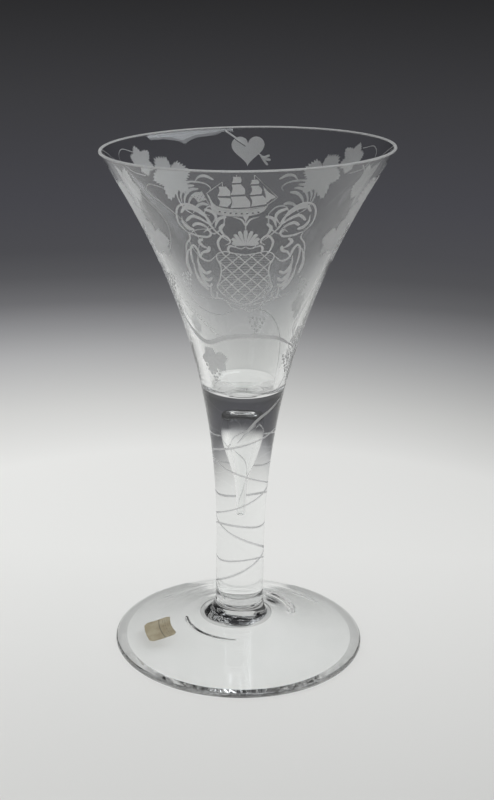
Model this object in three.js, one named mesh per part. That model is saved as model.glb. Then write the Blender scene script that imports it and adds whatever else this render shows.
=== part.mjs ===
// A tall trumpet wine glass with a drawn stem, a long air tear and a high conical foot.
// Millimetres, +Z up. The glass stands on z = 0 with its axis on the Z axis.
// It is made the way a glassmaker makes it: the bowl with its thick bottom, the stem drawn out
// of it around a bubble of air, the foot, and the scar where the holding rod was broken off.
import * as THREE from 'three';

// The whole glass
const glassHeight = 203.4;
const mouthRadius = 55.4;
const lipThickness = 1.2;

// The stem, straight below and widening into the bowl in one long curve
const stemRadius = 9.75;
const flareStart = 40.9;
const flareRate = 2.228;

// The inside of the bowl
const cavityDepth = 95.3;
const cavityWall = 4.2;
const cavityCorner = 4.5;

// The air tear: its round head reaches up into the bowl's thick bottom, its tail runs down the stem
const glassOverTear = 5.4;
const tearHeadHeight = 7.8;
const tearRadius = 5.35;
const tearNeckRadius = 1.25;
const tearTaperLength = 29;
const tearTailLength = 9.5;

// The foot: a thick rounded rim, a sloping top, a collar that runs up to the stem
const footRadius = 50.8;
const footRimThickness = 2.2;
const footSlopeAngle = 14.5;
const collarRadius = 14.8;
const collarHeight = 6.7;
const footWall = 3.1;
const hollowHeight = 9.3;

// The scar under the foot
const scarRadius = 6.5;
const scarDepth = 2.6;

// The paper label on the foot
const labelWidth = 11;
const labelLength = 15.8;
const labelThickness = 0.15;
const labelCornerCut = 1.4;
const labelFromRim = 17;
const labelAngle = -166;
const labelClearance = 0.3;

// How finely the round shapes are cut
const sidesRound = 60;
const curveSteps = 18;

// The bend of the tear's head and of the collar: 1 is an ellipse, less is boxier, 2 is a straight slope
const tearHeadCurve = 0.45;
const collarCurve = 1.2;

// Heights and lengths that follow from the sizes above
const cavityFloor = glassHeight - cavityDepth;
const tearTop = cavityFloor - glassOverTear;
const seamHeight = tearTop - tearHeadHeight;
const tearNeckHeight = seamHeight - tearTaperLength;
const tearTipHeight = tearNeckHeight - tearTailLength;
const footSlope = THREE.MathUtils.degToRad(footSlopeAngle);
const footRimCurve = footRimThickness / 2;
const footTopStart = new THREE.Vector2(
  footRadius - footRimCurve + footRimCurve * Math.sin(footSlope),
  footRimCurve + footRimCurve * Math.cos(footSlope),
);
const collarBottom = footTopHeight(collarRadius);
const footHeight = collarBottom + collarHeight;

const glassMaterial = new THREE.MeshStandardMaterial({
  color: new THREE.Color(0.86, 0.88, 0.87),
  roughness: 0.04,
  metalness: 0,
});
const paperMaterial = new THREE.MeshStandardMaterial({
  color: new THREE.Color(0.78, 0.72, 0.6),
  roughness: 0.85,
  metalness: 0,
});

// The outside of stem and bowl: straight, then widening faster and faster up to the mouth
function outerRadius(height) {
  const share = Math.max(0, (height - flareStart) / (glassHeight - flareStart));
  return stemRadius + (mouthRadius - stemRadius) * share ** flareRate;
}

// The bowl's wall, thick at the bottom of the cavity and thin at the lip
function wallThickness(height) {
  const depthShare = Math.min(1, (glassHeight - height) / cavityDepth);
  return lipThickness + (cavityWall - lipThickness) * depthShare ** 2;
}

function innerRadius(height) {
  return outerRadius(height) - wallThickness(height);
}

// The sloping top of the foot
function footTopHeight(radius) {
  return footTopStart.y + (footTopStart.x - radius) * Math.tan(footSlope);
}

// The underside of the foot, one wall thickness below its top
function footUnderRadius(height) {
  const underStart = footTopStart.y - footWall / Math.cos(footSlope);
  return footTopStart.x - (height - underStart) / Math.tan(footSlope);
}

function steps(count, place) {
  return Array.from({ length: count + 1 }, (_, i) => place(i / count));
}

// Part of an ellipse in the profile plane, from one angle to another in degrees
function ellipseArc(centreRadius, centreHeight, halfWidth, halfHeight, from, to, count, curve = 1) {
  const bend = (value) => Math.sign(value) * Math.abs(value) ** curve;
  return steps(count, (share) => {
    const angle = THREE.MathUtils.degToRad(THREE.MathUtils.lerp(from, to, share));
    return new THREE.Vector2(
      Math.max(0, centreRadius + halfWidth * bend(Math.cos(angle))),
      centreHeight + halfHeight * bend(Math.sin(angle)),
    );
  });
}

// The outside curve between two heights
function outerCurve(low, high, count) {
  return steps(count, (share) => {
    const height = THREE.MathUtils.lerp(low, high, share);
    return new THREE.Vector2(outerRadius(height), height);
  });
}

// A round body from a profile that starts and ends on the axis
function turned(name, profile, material) {
  const closed = profile.filter((point, i) => i === 0 || point.distanceTo(profile[i - 1]) > 0.005);
  const geometry = new THREE.LatheGeometry(closed, sidesRound);
  geometry.rotateX(Math.PI / 2);
  const mesh = new THREE.Mesh(geometry, material);
  mesh.name = name;
  return mesh;
}

// The bowl stands on the flat seam, where the tear is widest, and holds the tear's round head
function makeBowl() {
  const lipCurve = lipThickness / 2;
  const lipHeight = glassHeight - lipCurve;
  const lipCentre = outerRadius(lipHeight) - lipCurve;
  const floorEdge = cavityFloor + cavityCorner;
  const tearHead = ellipseArc(0, seamHeight, tearRadius, tearHeadHeight, 90, 0, 9, tearHeadCurve);
  const lip = ellipseArc(lipCentre, lipHeight, lipCurve, lipCurve, 0, 180, 6);
  const inside = steps(curveSteps, (share) => {
    const height = THREE.MathUtils.lerp(lipHeight, floorEdge, share);
    return new THREE.Vector2(innerRadius(height), height);
  });
  const floor = ellipseArc(0, floorEdge, innerRadius(floorEdge), cavityCorner, 0, -90, 8);
  const outside = outerCurve(seamHeight, lipHeight, curveSteps);
  return turned('bowl', [...tearHead, ...outside, ...lip, ...inside, ...floor], glassMaterial);
}

// The tear's long tail, from its round tip up to its widest place at the seam
function tearTail() {
  const tip = ellipseArc(0, tearTipHeight + tearNeckRadius, tearNeckRadius, tearNeckRadius, 0, -90, 3);
  const taper = steps(9, (share) => {
    const swell = (tearRadius - tearNeckRadius) * (1 + Math.cos(Math.PI * share)) / 2;
    const height = THREE.MathUtils.lerp(seamHeight, tearNeckHeight, share);
    return new THREE.Vector2(tearNeckRadius + swell, height);
  });
  return [...taper, ...tip];
}

function makeStem() {
  const straight = [new THREE.Vector2(0, footHeight), new THREE.Vector2(stemRadius, footHeight)];
  const outside = outerCurve(Math.max(flareStart, footHeight), seamHeight, 10);
  return turned('stem', [...straight, ...outside, ...tearTail()], glassMaterial);
}

// The foot rests on a narrow flat ring and is hollow inside it
function makeFoot() {
  const restOuter = footRadius - footRimCurve;
  const restInner = footUnderRadius(0);
  const hollowRadius = Math.max(scarRadius + 2, footUnderRadius(hollowHeight));
  const under = [
    new THREE.Vector2(0, hollowHeight),
    new THREE.Vector2(hollowRadius, hollowHeight),
    new THREE.Vector2(restInner, 0),
  ];
  const rim = ellipseArc(restOuter, footRimCurve, footRimCurve, footRimCurve, -90, 90 - footSlopeAngle, 8);
  const collarWidth = collarRadius - stemRadius;
  const collar = ellipseArc(collarRadius, footHeight, collarWidth, collarHeight, 270, 180, 8, collarCurve);
  const seat = [new THREE.Vector2(0, footHeight)];
  return turned('foot', [...under, ...rim, ...collar, ...seat], glassMaterial);
}

// The rough bit of glass that the holding rod left, on the flat roof of the foot's hollow
function makeScar() {
  const low = hollowHeight - scarDepth;
  const profile = [
    new THREE.Vector2(0, low + scarDepth * 0.35),
    new THREE.Vector2(scarRadius * 0.3, low + scarDepth * 0.2),
    new THREE.Vector2(scarRadius * 0.6, low),
    new THREE.Vector2(scarRadius * 0.8, low + scarDepth * 0.15),
    new THREE.Vector2(scarRadius, low + scarDepth * 0.7),
    new THREE.Vector2(scarRadius, hollowHeight),
    new THREE.Vector2(0, hollowHeight),
  ];
  return turned('pontil_scar', profile, glassMaterial);
}

// A sheet with cut corners, bent over the foot's sloping top a small gap above the glass
function makeLabel() {
  const across = 4;
  const along = 10;
  const geometry = new THREE.BoxGeometry(labelWidth, labelLength, labelThickness, across, along, 1);
  const places = geometry.attributes.position;
  const middle = THREE.MathUtils.degToRad(labelAngle);
  const middleRadius = footRadius - labelFromRim;
  const straightHalf = labelLength / 2 - labelCornerCut;
  for (let i = 0; i < places.count; i += 1) {
    const y = places.getY(i);
    const narrow = Math.max(0, Math.abs(y) - straightHalf);
    const x = places.getX(i) * (1 - (2 * narrow) / labelWidth);
    const lift = places.getZ(i) + labelThickness / 2 + labelClearance;
    const slopeRadius = middleRadius + x * Math.cos(footSlope);
    const angle = middle + y / slopeRadius;
    const radius = slopeRadius + lift * Math.sin(footSlope);
    const height = footTopHeight(slopeRadius) + lift * Math.cos(footSlope);
    places.setXYZ(i, radius * Math.cos(angle), radius * Math.sin(angle), height);
  }
  geometry.computeVertexNormals();
  const mesh = new THREE.Mesh(geometry, paperMaterial);
  mesh.name = 'paper_label';
  return mesh;
}

const wineGlass = new THREE.Group();
wineGlass.add(makeBowl(), makeStem(), makeFoot(), makeScar(), makeLabel());

export default wineGlass;
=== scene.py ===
import math
import bpy
import numpy as np
from mathutils import Matrix, Vector
from mathutils.geometry import delaunay_2d_cdt


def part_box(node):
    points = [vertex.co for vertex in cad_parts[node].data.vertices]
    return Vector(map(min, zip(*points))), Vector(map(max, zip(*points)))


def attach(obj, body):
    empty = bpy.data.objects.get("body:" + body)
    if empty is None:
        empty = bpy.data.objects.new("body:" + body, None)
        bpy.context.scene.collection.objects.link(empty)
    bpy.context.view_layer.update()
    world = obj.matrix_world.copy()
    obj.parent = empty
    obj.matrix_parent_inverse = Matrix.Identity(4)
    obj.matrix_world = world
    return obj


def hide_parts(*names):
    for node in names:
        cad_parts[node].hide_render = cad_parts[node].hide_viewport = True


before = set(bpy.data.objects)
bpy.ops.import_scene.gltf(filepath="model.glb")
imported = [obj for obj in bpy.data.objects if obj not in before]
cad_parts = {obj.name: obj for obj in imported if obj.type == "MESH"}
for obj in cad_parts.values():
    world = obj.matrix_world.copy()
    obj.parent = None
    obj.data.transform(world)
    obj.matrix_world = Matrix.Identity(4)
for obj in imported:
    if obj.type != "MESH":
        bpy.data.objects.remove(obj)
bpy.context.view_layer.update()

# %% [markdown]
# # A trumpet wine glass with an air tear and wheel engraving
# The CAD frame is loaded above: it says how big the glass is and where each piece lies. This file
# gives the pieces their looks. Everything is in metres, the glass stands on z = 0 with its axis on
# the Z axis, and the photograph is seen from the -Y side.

mm = 0.001
bowl_low, bowl_high = (np.array(corner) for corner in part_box("bowl"))
foot_high = np.array(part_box("foot")[1])
seam_height, glass_height = bowl_low[2], bowl_high[2]
foot_radius, foot_height = foot_high[0], foot_high[2]
print("glass", round(glass_height / mm, 1), "mm high, seam at", round(seam_height / mm, 1))

# %% [markdown]
# ## The camera
# The photograph was taken from a little above, with the camera turned about one degree. Its place
# was found from the outlines of the rim, the stem and the foot, so it is given as shares of the
# glass's height. The long side of a Blender picture belongs to a 36 mm sensor.

# %% Camera
def put_in_scene(name, data):
    """A new object of the scene, made of a mesh or of a camera's settings."""
    made = bpy.data.objects.new(name, data)
    bpy.context.scene.collection.objects.link(made)
    return made


def add_camera():
    """The camera of the photograph, with places in heights of the glass."""
    picture_height_px, focal_px, sensor_mm = 800, 1402.6, 36
    distance, height, aside = 2.5711, 1.384, 0.00796
    pitch, roll = math.radians(18.76), math.radians(1.12)
    data = bpy.data.cameras.new("camera")
    data.lens = sensor_mm * focal_px / picture_height_px
    data.sensor_width = sensor_mm
    data.clip_start, data.clip_end = 0.01, 100
    camera = put_in_scene("camera", data)
    place = Vector((aside, -distance, height)) * glass_height
    look = Matrix.Rotation(math.pi / 2 - pitch, 4, "X") @ Matrix.Rotation(roll, 4, "Z")
    camera.matrix_world = Matrix.Translation(place) @ look
    bpy.context.scene.camera = camera
    return camera

camera = add_camera()
bpy.context.scene.view_settings.view_transform = "Standard"
print("camera at", [round(value, 3) for value in camera.matrix_world.translation])

# %% [markdown]
# ## Writing materials as sums
# A Blender material is a net of nodes. Writing it as plain arithmetic is easier to read, so one
# small class wraps a node's output and gives it plus, minus, times and divide. Any other node is
# made by one function, which takes the node's kind, its settings, and what goes into its sockets.

# %% A wire that can be added and multiplied
class Wire:
    """The output of a node, used in sums as if it were a number."""

    def __init__(self, socket):
        self.socket = socket
        self.tree = socket.id_data

    def sum(self, operation, *parts):
        return node(self.tree, "ShaderNodeMath", {"operation": operation}, dict(enumerate(parts)))

    def __add__(self, other):
        return self.sum("ADD", self, other)

    __radd__ = __add__

    def __sub__(self, other):
        return self.sum("SUBTRACT", self, other)

    def __rsub__(self, other):
        return self.sum("SUBTRACT", other, self)

    def __mul__(self, other):
        return self.sum("MULTIPLY", self, other)

    __rmul__ = __mul__

    def __truediv__(self, other):
        return self.sum("DIVIDE", self, other)

    def at_most(self, other):
        return self.sum("MINIMUM", self, other)

    def at_least(self, other):
        return self.sum("MAXIMUM", self, other)

    def over(self, limit):
        """1 above the limit, 0 below it."""
        return self.sum("GREATER_THAN", self, limit)

    def under(self, limit):
        return self.sum("LESS_THAN", self, limit)

    def taken(self, operation):
        """A function of this number alone, such as SINE or ABSOLUTE."""
        return self.sum(operation, self)

    def part(self, name):
        """X, Y or Z of a vector."""
        return node(self.tree, "ShaderNodeSeparateXYZ", {}, {0: self}, name)

    def ramp(self, stops):
        """A colour for each place along the value, from (place, colour) stops."""
        return node(self.tree, "ShaderNodeValToRGB", {"stops": stops}, {0: self})


def set_stops(color_ramp, stops):
    """Fills a colour ramp with (place, colour) stops."""
    while len(color_ramp.elements) < len(stops):
        color_ramp.elements.new(0.5)
    for element, (place, colour) in zip(color_ramp.elements, stops):
        element.position = place
        element.color = (*colour, 1) if len(colour) == 3 else colour


def node(tree, kind, settings=None, sockets=None, output=0):
    """A new node, as the wire of one of its outputs."""
    made = tree.nodes.new(kind)
    for name, value in (settings or {}).items():
        if name == "stops":
            set_stops(made.color_ramp, value)
        else:
            setattr(made, name, value)
    for name, value in (sockets or {}).items():
        if isinstance(value, Wire):
            tree.links.new(value.socket, made.inputs[name])
        else:
            made.inputs[name].default_value = value
    return Wire(made.outputs[output])


def new_material(name):
    """An empty material, and its node tree."""
    material = bpy.data.materials.new(name)
    material.use_nodes = True
    tree = material.node_tree
    tree.nodes.clear()
    return material, tree


def finish_with(tree, shader, kind="ShaderNodeOutputMaterial"):
    """Joins a shader to the output of a material, or of a world."""
    end = tree.nodes.new(kind)
    tree.links.new(shader.socket, end.inputs["Surface"])


def plain_object(name, points, faces, material):
    """An object of one mesh and one finish."""
    mesh = bpy.data.meshes.new(name)
    mesh.from_pydata(points, [], faces)
    mesh.materials.append(material)
    return put_in_scene(name, mesh)

print("wires ready")

# %% [markdown]
# ## Clear glass
# The glass is old lead glass: clear, faintly grey, and full of very fine streaks from the stirring
# of the pot, so its surface is never quite even. The streaks are a stretched noise in the bump and
# in the colour. Glass blocks a lamp's shadow rays unless it is told not to, so on those rays alone
# the glass steps aside for a plain see-through shader, and its shadow stays as light as a real one.

# %% Clear glass, and the fused joints inside it
# How strongly lead glass bends light; window glass has 1.5
BENDING = 1.54


def object_noise(tree, scale, stretch=(1, 1, 1), detail=2.0):
    """A noise fixed to the object, scale in turns per metre."""
    place = node(tree, "ShaderNodeTexCoord", {}, {}, "Object")
    stretched = node(tree, "ShaderNodeVectorMath", {"operation": "MULTIPLY"}, {0: place, 1: stretch})
    return node(tree, "ShaderNodeTexNoise", {}, {"Vector": stretched, "Scale": scale, "Detail": detail})


def clear_to_lamps(tree, shader):
    """Lets most of a lamp's light through on shadow rays."""
    shadow = node(tree, "ShaderNodeLightPath", {}, {}, "Is Shadow Ray")
    passing = node(tree, "ShaderNodeBsdfTransparent", {}, {"Color": (0.95, 0.955, 0.955, 1)})
    return node(tree, "ShaderNodeMixShader", {}, {0: shadow, 1: shader, 2: passing})


def clear_glass():
    """Clear lead glass with its fine streaks."""
    material, tree = new_material("clear_lead_glass")
    streaks = object_noise(tree, 90, (1, 1, 0.25))
    tint = streaks.ramp([(0.3, (0.955, 0.965, 0.96)), (0.7, (0.985, 0.99, 0.988))])
    bump = node(tree, "ShaderNodeBump", {}, {"Height": streaks, "Strength": 0.04, "Distance": 0.0004})
    body = node(tree, "ShaderNodeBsdfPrincipled", {}, {
        "Base Color": tint, "Roughness": 0.0, "IOR": BENDING, "Transmission Weight": 1.0, "Normal": bump})
    finish_with(tree, clear_to_lamps(tree, body))
    return material


def fused_joint():
    """Where two gathers of glass were joined hot, nothing bends the light."""
    material, tree = new_material("fused_joint")
    finish_with(tree, node(tree, "ShaderNodeBsdfTransparent", {}, {"Color": (1, 1, 1, 1)}))
    return material

glass = clear_glass()
joint = fused_joint()
print("lead glass bends light by", BENDING)

# %% [markdown]
# ## Ground glass, and glass greyed as painted shade
# An engraver presses the glass against a small copper wheel. The cut is a grey ground surface that
# scatters light, so it is a rough glass with a speckled colour: white where the wheel went deep,
# with more of a veil where it only brushed the skin. Round the resting ring and the collar the
# real glass shows dark lines, which clear glass drew too weakly here. As a stand-in the glass is
# greyed there, the same all round: painted shade that darkens the light mirrored inside it many
# times. Grey laid on the front half alone would look nearer from here and wrong from elsewhere.

# %% Frost, and glass greyed as painted shade
def engraved_frost(name, white, veil, grain):
    """Ground by a copper wheel: white is its tone, veil how much light still comes through."""
    material, tree = new_material(name)
    speckle = object_noise(tree, grain, detail=3.0)
    colour = speckle.ramp([(0.3, (white * 0.8,) * 3), (0.7, (white,) * 3)])
    bump = node(tree, "ShaderNodeBump", {}, {"Height": speckle, "Strength": 0.3, "Distance": 0.0001})
    ground = node(tree, "ShaderNodeBsdfPrincipled", {}, {
        "Base Color": colour, "Roughness": 0.55, "IOR": BENDING, "Transmission Weight": veil, "Normal": bump})
    finish_with(tree, clear_to_lamps(tree, ground))
    return material


def shade_greyed_glass(name, grey):
    """Evenly greyed glass as painted shade: light that is mirrored in it many times comes out dark."""
    material, tree = new_material(name)
    greyed = node(tree, "ShaderNodeBsdfGlass", {}, {
        "Color": (grey, grey, grey, 1), "Roughness": 0.0, "IOR": BENDING})
    finish_with(tree, clear_to_lamps(tree, greyed))
    return material

# Painted shade: the resting ring and the collar are greyed, so the lines of light mirrored in them come out
# dark
painted_shade_rest = shade_greyed_glass("painted_shade_resting_ring", 0.8)
painted_shade_collar = shade_greyed_glass("painted_shade_collar", 0.74)
frost_light = engraved_frost("engraved_light", 0.84, 0.66, 2500)
frost_deep = engraved_frost("engraved_deep", 0.92, 0.55, 3500)
# A face keeps the number of its finish in this list
GLASS, JOINT, LIGHT, DEEP, REST, COLLAR = range(6)
finishes = [glass, joint, frost_light, frost_deep, painted_shade_rest, painted_shade_collar]
print("finishes", [finish.name for finish in finishes])

# %% [markdown]
# ## The shape of the glass
# Every surface of the glass is turned: a curve of radius and height spun about the axis. The same
# formula as in the CAD source gives the long trumpet curve, so the looks lie on the solids.
# A blown glass is never perfectly round, so one gentle bend of space is applied to everything:
# the mouth is a little oval and leans up on its right side.

# %% The trumpet curve and the handmade bend
stem_radius = 9.75 * mm
mouth_radius = 55.4 * mm
flare_start = 40.9 * mm
flare_rate = 2.228
lip_thickness = 1.2 * mm
cavity_floor = glass_height - 95.3 * mm
cavity_wall = 4.2 * mm
cavity_corner = 4.5 * mm
tear_top = cavity_floor - 5.4 * mm
tear_radius = 5.35 * mm
neck_depth, neck_height = 0.4 * mm, 0.7 * mm


def outer_radius(height):
    """The trumpet curve. Just over the foot the stem draws in a hair."""
    share = np.clip((height - flare_start) / (glass_height - flare_start), 0, None)
    neck = neck_depth * np.exp(-((height - foot_height) / neck_height) ** 2)
    return stem_radius - neck + (mouth_radius - stem_radius) * share ** flare_rate


def inner_radius(height):
    """The wall is thin at the lip and thickens faster and faster towards the cavity's floor."""
    depth = np.clip((glass_height - height) / (glass_height - cavity_floor), 0, 1)
    return outer_radius(height) - (lip_thickness + (cavity_wall - lip_thickness) * depth ** 2)


def smooth(value):
    """Eases a share from 0 to 1, level at both ends."""
    value = np.clip(value, 0, 1)
    return value * value * (3 - 2 * value)


def handmade(points):
    """The bend of space that makes the turned shape look blown: none at the foot, most at the mouth."""
    tilt, oval = math.radians(1.8), 0.004
    x, y, z = points[..., 0], points[..., 1], points[..., 2]
    rise = smooth((z - seam_height) / (glass_height - seam_height))
    return np.stack([x * (1 + oval * rise), y * (1 - oval * rise), z + math.tan(tilt) * x * rise], -1)


def spun(theta, radius, height):
    """Points of a turned surface, after the handmade bend."""
    return handmade(np.stack([radius * np.cos(theta), radius * np.sin(theta), height + 0 * theta], -1))

print("mouth radius", round(float(outer_radius(glass_height)) / mm, 1), "mm")

# %% [markdown]
# ## Building in patches
# A patch is a grid of points with its own smooth normals and finish. A piece is some patches whose
# edges have the same points: they are welded there, so the piece is one closed skin. The normals
# come from the curve itself, not from the flat faces, and the glass bends light without facets.

# %% Patches
COLUMNS = 192
# Points of two patches that are nearer than this, in metres, are welded into one
SAME_PLACE = 4e-8


class Patch:
    """Points, faces, a normal for each point and a finish for each face."""

    def __init__(self, points, faces, normals, finishes):
        self.points, self.faces, self.normals, self.finishes = points, faces, normals, finishes

    def turned_over(self):
        """The same patch, facing the other way."""
        return Patch(self.points, [face[::-1] for face in self.faces], -self.normals, self.finishes)


def unit(vectors):
    """The same directions, each with a length of 1."""
    return vectors / np.maximum(np.linalg.norm(vectors, axis=-1, keepdims=True), 1e-20)


def curve_normals(theta, radius, height, step_radius, step_height):
    """Outward normals of a spun curve, from small steps along it and around it."""
    small, nearest_axis = 1e-4, 1e-5
    along = spun(theta, radius + small * step_radius, height + small * step_height)
    along = along - spun(theta, radius - small * step_radius, height - small * step_height)
    reach = np.maximum(radius, nearest_axis)
    across = spun(theta + small, reach, height) - spun(theta - small, reach, height)
    return unit(np.cross(across, along))


def grid_normals(points):
    """Normals of a spun patch whose shape changes round the axis, from its neighbouring points."""
    ring = points[:, :-1]
    across = np.roll(ring, -1, axis=1) - np.roll(ring, 1, axis=1)
    across = np.concatenate([across, across[:, :1]], axis=1)
    return unit(np.cross(across, np.gradient(points, axis=0)))


def lathe(curve, finish=GLASS, ripple=None):
    """A patch spun from a curve of (radius, height) rows. Going up the outside, it faces out."""
    curve = np.asarray(curve, float)
    wide = COLUMNS + 1
    theta = np.linspace(-math.pi, math.pi, wide)
    radius = np.repeat(curve[:, :1], wide, axis=1)
    height = np.repeat(curve[:, 1:], wide, axis=1)
    if ripple is not None:
        radius, height = ripple(theta[None, :], radius, height)
    steps = unit(np.gradient(np.stack([radius, height], -1), axis=0))
    turn = np.repeat(theta[None, :], len(curve), axis=0)
    points = spun(turn, radius, height)
    if ripple is None:
        normals = curve_normals(turn, radius, height, steps[..., 0], steps[..., 1])
    else:
        normals = grid_normals(points)
    on_axis = radius[:, 0] < 2.5 * SAME_PLACE
    up = np.sign(-steps[:, 0, 0])
    normals[on_axis] = np.stack([0 * up, 0 * up, up], -1)[on_axis][:, None, :]
    faces = [
        (r * wide + c, r * wide + c + 1, (r + 1) * wide + c + 1, (r + 1) * wide + c)
        for r in range(len(curve) - 1)
        for c in range(COLUMNS)
    ]
    return Patch(points.reshape(-1, 3), faces, normals.reshape(-1, 3), [finish] * len(faces))


def weld(name, patches):
    """One closed mesh object from patches that share their edge points."""
    points = np.concatenate([patch.points for patch in patches])
    normals = np.concatenate([patch.normals for patch in patches])
    starts = np.cumsum([0] + [len(patch.points) for patch in patches])
    keys = np.round(points / SAME_PLACE).astype(np.int64)
    _, first, same = np.unique(keys, axis=0, return_index=True, return_inverse=True)
    same = same.ravel()
    faces, loops, finish_of = [], [], []
    for patch, start in zip(patches, starts):
        for face, finish in zip(patch.faces, patch.finishes):
            corners = []
            for corner in face:
                if not corners or same[start + corner] != same[start + corners[-1]]:
                    corners.append(corner)
            if same[start + corners[0]] == same[start + corners[-1]]:
                corners.pop()
            if len(corners) > 2:
                faces.append([int(same[start + corner]) for corner in corners])
                loops.extend(start + corner for corner in corners)
                finish_of.append(finish)
    mesh = bpy.data.meshes.new(name)
    mesh.from_pydata(points[first].tolist(), [], faces)
    for finish in finishes:
        mesh.materials.append(finish)
    mesh.polygons.foreach_set("material_index", finish_of)
    mesh.polygons.foreach_set("use_smooth", [True] * len(faces))
    mesh.normals_split_custom_set(normals[loops].tolist())
    return put_in_scene(name, mesh)


def report_edges(piece):
    """Prints how many edges of a piece don't join two faces: none, on a closed skin."""
    count = np.zeros(len(piece.data.edges), int)
    edge_of = np.empty(len(piece.data.loops), int)
    piece.data.loops.foreach_get("edge_index", edge_of)
    np.add.at(count, edge_of, 1)
    print(piece.name, len(piece.data.polygons), "faces,", int((count != 2).sum()), "open edges")

print("patches of", COLUMNS, "columns")

# %% [markdown]
# ## The outer skin as a flat sheet
# Engraving lies in the outer surface. To cut it in, the skin of stem and bowl is rolled out flat:
# across goes the angle, up goes the length along the curve. On this sheet the ornament is drawn
# with polygons, and a triangulation that keeps every outline turns sheet and ornament into one
# mesh, which is then rolled back up. Ground faces get a frosted finish and sink a little.

# %% The sheet
# Angles are laid out as on a tube of this radius; the ornament stays clear of rim and foot
SHEET_RADIUS = 30 * mm
BARE_RIM, BARE_FOOT = 1.2 * mm, 0.5 * mm
skin_heights = np.linspace(foot_height, glass_height - lip_thickness / 2, 1500)
skin_steps = np.hypot(np.diff(skin_heights), np.diff(outer_radius(skin_heights)))
skin_lengths = np.concatenate([[0], np.cumsum(skin_steps)])


def height_at(length):
    """The height of a place on the skin, from its length along the curve above the foot."""
    return np.interp(length, skin_lengths, skin_heights)


def length_at(height):
    """The same the other way round."""
    return np.interp(height, skin_heights, skin_lengths)


def roll_up(across, up, depth=0.0):
    """Points and normals of the outer skin from places on the sheet."""
    theta, height, small = across / SHEET_RADIUS, height_at(up), 1e-5
    slope = (outer_radius(height + small) - outer_radius(height - small)) / (2 * small)
    lean = np.hypot(1, slope)
    radius = outer_radius(height)
    normals = curve_normals(theta, radius, height, slope / lean, 1 / lean)
    return spun(theta, radius, height) - normals * np.asarray(depth)[..., None], normals

seam_length = float(length_at(seam_height))
skin_length = float(skin_lengths[-1])
print("sheet", round(2 * math.pi * SHEET_RADIUS / mm), "by", round(skin_length / mm), "mm")

# %% Places and lines on the sheet
class Spot:
    """A place on the glass. The ornament is measured from it, in millimetres right and up."""

    def __init__(self, angle, height, turn=0.0, side=1):
        self.angle, self.height, self.side = math.radians(angle), height * mm, side
        self.cosine, self.sine = math.cos(math.radians(turn)), math.sin(math.radians(turn))
        self.room_above = (skin_length - BARE_RIM - float(length_at(self.height))) / mm

    def sheet(self, points):
        """The same points on the rolled-out sheet; side -1 mirrors them."""
        right, up = (np.asarray(points, float) * mm).T
        right, up = right * self.cosine - up * self.sine, right * self.sine + up * self.cosine
        length = np.clip(length_at(self.height) + up, BARE_FOOT, skin_length - BARE_RIM)
        narrow = SHEET_RADIUS / outer_radius(height_at(length))
        return np.stack([self.angle * SHEET_RADIUS + self.side * right * narrow, length], -1)


def flow(points, steps=6):
    """A smooth line through given points, with some steps from each to the next."""
    points = np.asarray(points, float)
    ends = [2 * points[0] - points[1]], [2 * points[-1] - points[-2]]
    points = np.concatenate([ends[0], points, ends[1]])
    t = np.linspace(0, 1, steps, endpoint=False)[:, None]
    parts = [
        b + (c - a) * t / 2 + (2 * a - 5 * b + 4 * c - d) * t ** 2 / 2 + (3 * b - a - 3 * c + d) * t ** 3 / 2
        for a, b, c, d in zip(points, points[1:], points[2:], points[3:])
    ]
    return np.concatenate(parts + [points[-2:-1]])


def along_path(path):
    """How far each point lies along a line, from 0 to 1, and the line's direction there."""
    step = np.gradient(path, axis=0)
    length = np.linalg.norm(step, axis=-1)
    share = np.concatenate([[0], np.cumsum((length[1:] + length[:-1]) / 2)])
    return share / share[-1], step / length[:, None]

print("a smooth line through 3 places has", len(flow([(0, 0), (1, 1), (2, 0)])), "points")

# %% The ornament's drawing list
# Each shape: its points on the sheet, its lines, the outlines it covers, its tone and its depths
shapes = []


def inside(points, outline):
    """Which points lie inside an outline, or inside any of several outlines with as many corners."""
    outlines = np.asarray(outline, float)
    outlines = outlines.reshape(-1, outlines.shape[-2], 2)
    x, y = points[:, 0, None, None], points[:, 1, None, None]
    ax, ay = outlines[None, ..., 0], outlines[None, ..., 1]
    bx, by = np.roll(ax, -1, axis=-1), np.roll(ay, -1, axis=-1)
    crosses = ((ay > y) != (by > y)) & (x < (bx - ax) * (y - ay) / np.where(by == ay, 1e-12, by - ay) + ax)
    return (crosses.sum(axis=-1) % 2 == 1).any(axis=-1)


def area(spot, outline, tone):
    """A ground patch with a smooth floor, from the points of its outline."""
    corners = spot.sheet(outline)
    loop = list(range(len(corners)))
    shapes.append((corners, [loop + [0]], np.array([loop]), tone, [0.0] * len(corners)))


def groove(left, middle, right, tone, depth):
    """A cut between two rails of points, deepest along a third one in its middle."""
    count = len(middle)
    rail = np.arange(count)
    ends = [[0, count, 2 * count], [count - 1, 2 * count - 1, 3 * count - 1]]
    lines = [rail, rail + count, rail + 2 * count, *ends]
    cover = np.stack([rail[:-1], rail[1:], rail[1:] + 2 * count, rail[:-1] + 2 * count], -1)
    depths = np.zeros((3, count))
    depths[1] = depth
    shapes.append((np.concatenate([left, middle, right]), lines, cover, tone, depths.ravel().tolist()))


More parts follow.
